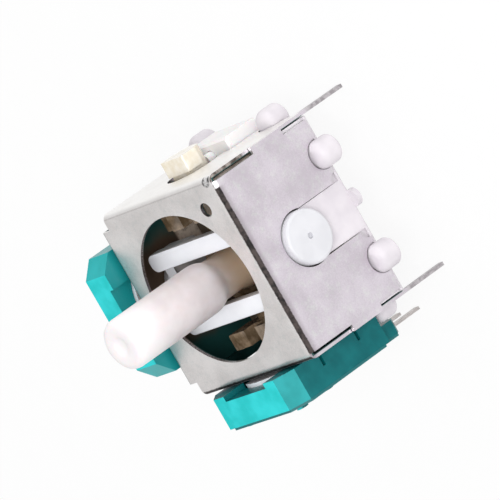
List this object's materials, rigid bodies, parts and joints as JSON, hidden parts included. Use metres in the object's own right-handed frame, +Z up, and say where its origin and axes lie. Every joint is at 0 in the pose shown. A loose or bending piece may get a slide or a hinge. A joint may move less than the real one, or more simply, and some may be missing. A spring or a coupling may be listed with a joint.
{
  "type": "analog stick module",
  "caption": "Thumbstick module of a game controller: stamped metal cover, crossed yokes under a stick that can be pressed, side potentiometers and solder pins.",
  "frame": {"origin": "on the stick's axis, in the plane of the circuit board that the base's pegs stand on", "axes": "+Z up along the stick, -Y towards the flap with the open journal, +X towards the click switch"},
  "size_m": [0.0213, 0.0211, 0.0251],
  "materials": {
    "cover_metal": "satin",
    "base_plastic": "matte",
    "yoke_plastic": "satin",
    "amber_plastic": "gloss",
    "stick_plastic": "satin",
    "pin_metal": "tinned",
    "spring_steel": "bright",
    "teal_plastic": "gloss",
    "wiper_brass": "bright",
    "board_laminate": "satin",
    "switch_plastic": "satin"
  },
  "bodies": {
    "housing": {"metal_cover": "cover_metal", "base": "base_plastic", "return_spring": "spring_steel", "pot_housing_left": "teal_plastic", "resistor_board_left": "board_laminate", "board_rivets_left": "pin_metal", "pot_pins_left": "pin_metal", "pot_housing_rear": "teal_plastic", "resistor_board_rear": "board_laminate", "board_rivets_rear": "pin_metal", "pot_pins_rear": "pin_metal", "switch_body": "switch_plastic", "switch_dome": "spring_steel", "switch_pins": "pin_metal"},
    "left_rotor": {"pot_rotor_left": "yoke_plastic", "pot_wiper_left": "wiper_brass"},
    "arm": {"lower_arm": "amber_plastic"},
    "thumb_stick": {"stick": "stick_plastic", "cross_pin": "pin_metal", "spring_cup": "yoke_plastic"},
    "yoke": {"upper_yoke": "yoke_plastic", "pot_rotor_rear": "yoke_plastic", "pot_wiper_rear": "wiper_brass"},
    "plunger": {"switch_plunger": "switch_plastic"}
  },
  "joints": [
    {"name": "tilt_x", "type": "hinge", "parent": "housing", "child": "left_rotor", "pos_m": [0, 0, 0.00645], "axis": [1, 0, 0], "range_deg": [-18, 18], "stiffness_Nm_per_rad": 0.01, "deforming": ["return_spring"]},
    {"name": "press", "type": "hinge", "parent": "left_rotor", "child": "arm", "pos_m": [-0.0089, 0, 0.00645], "axis": [0, 1, 0], "range_deg": [0, 1.7], "stiffness_Nm_per_rad": 0.3, "springref_deg": -0.57, "deforming": ["return_spring"]},
    {"name": "tilt_y", "type": "hinge", "parent": "arm", "child": "thumb_stick", "pos_m": [0, 0, 0.00645], "axis": [0, 1, 0], "range_deg": [-18, 18], "stiffness_Nm_per_rad": 0.01, "deforming": ["return_spring"]},
    {"name": "yoke_tilt", "type": "hinge", "parent": "housing", "child": "yoke", "pos_m": [0, 0, 0.00645], "axis": [0, 1, 0], "range_deg": [-18, 18]},
    {"name": "plunger_slide", "type": "slide", "parent": "housing", "child": "plunger", "axis": [0, 0, -1], "range_m": [0, 0.00045], "deforming": ["switch_dome"]}
  ],
  "couplings": [
    {"joint": "yoke_tilt", "follows": "tilt_y", "ratio": 1},
    {"joint": "plunger_slide", "follows": "press", "m_per_rad": 0.015}
  ]
}
